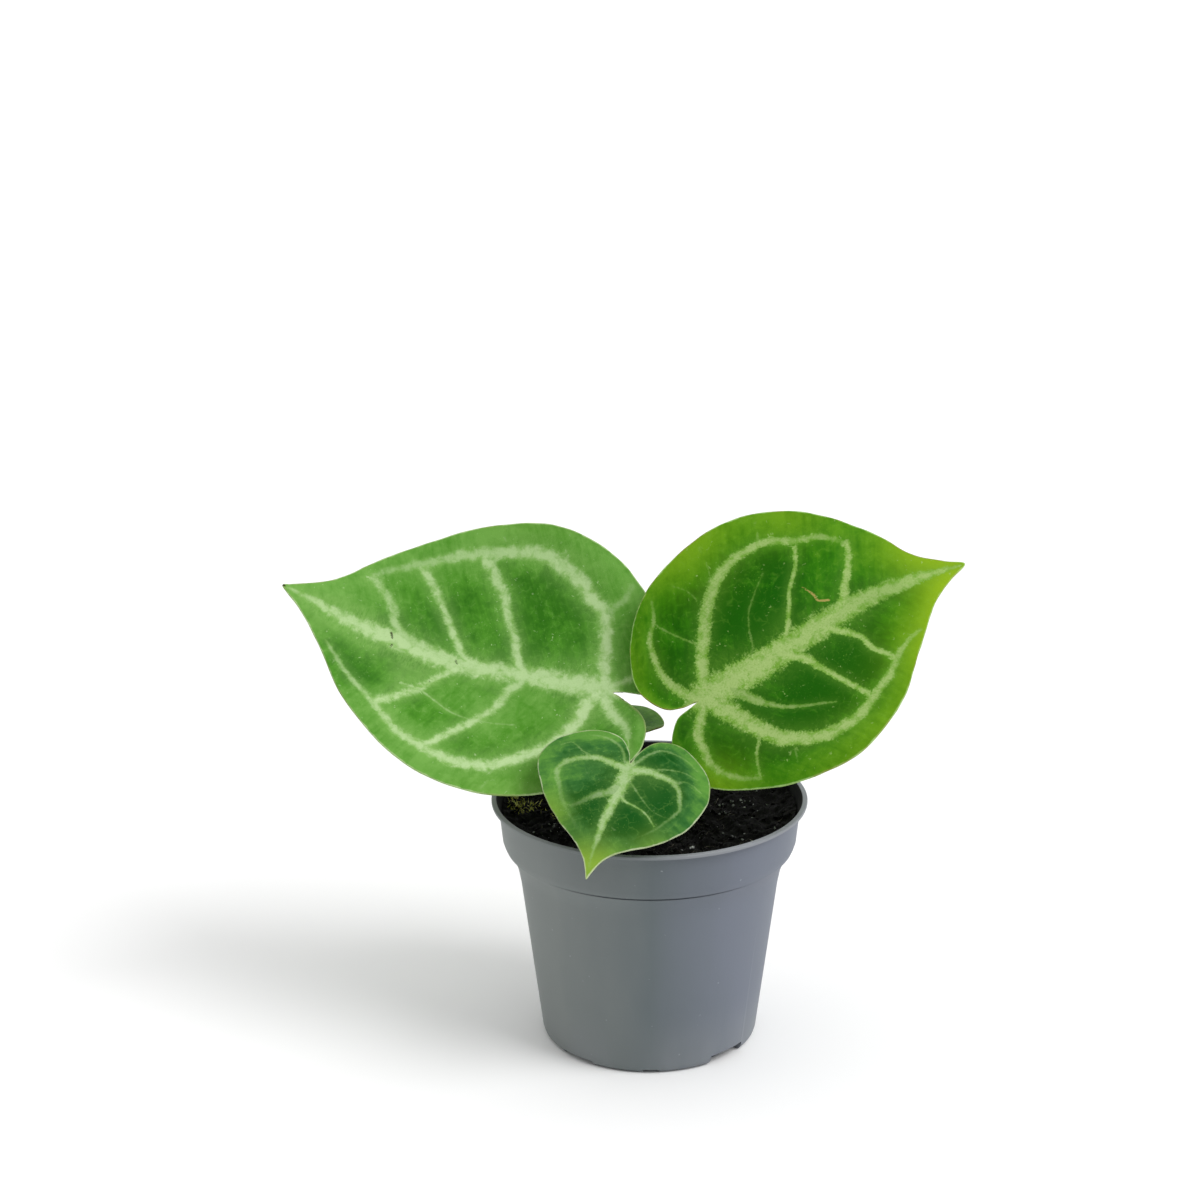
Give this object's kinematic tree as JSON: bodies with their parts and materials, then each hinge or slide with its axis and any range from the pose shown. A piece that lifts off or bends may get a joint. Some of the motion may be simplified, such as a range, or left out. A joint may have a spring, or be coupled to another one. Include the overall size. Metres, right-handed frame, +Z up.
{
  "type": "potted dorayaki anthurium",
  "caption": "Young velvet-leaved anthurium with heart-shaped, pale-veined leaves on slim stalks, in a grey plastic nursery pot of soil.",
  "frame": {"origin": "the middle of the pot's underside, on the surface the pot stands on", "axes": "+Z up, +X towards the right leaf, -Y towards the front, where the small leaf hangs over the lip"},
  "size_m": [0.1286, 0.072, 0.0991],
  "materials": {
    "pot": "satin grey polypropylene",
    "soil": "dark crumbly peat and bark",
    "stem": "smooth green",
    "leaf_left": "velvet green with pale veins",
    "leaf_right": "velvet deep green with pale veins",
    "leaf_front": "velvet cool green with pale veins",
    "leaf_back": "velvet dark green with pale veins"
  },
  "bodies": {
    "root": {"pot": "pot", "soil": "soil", "stem": "stem", "leaf_left": "leaf_left", "leaf_right": "leaf_right", "leaf_front": "leaf_front", "leaf_back": "leaf_back"}
  },
  "joints": []
}
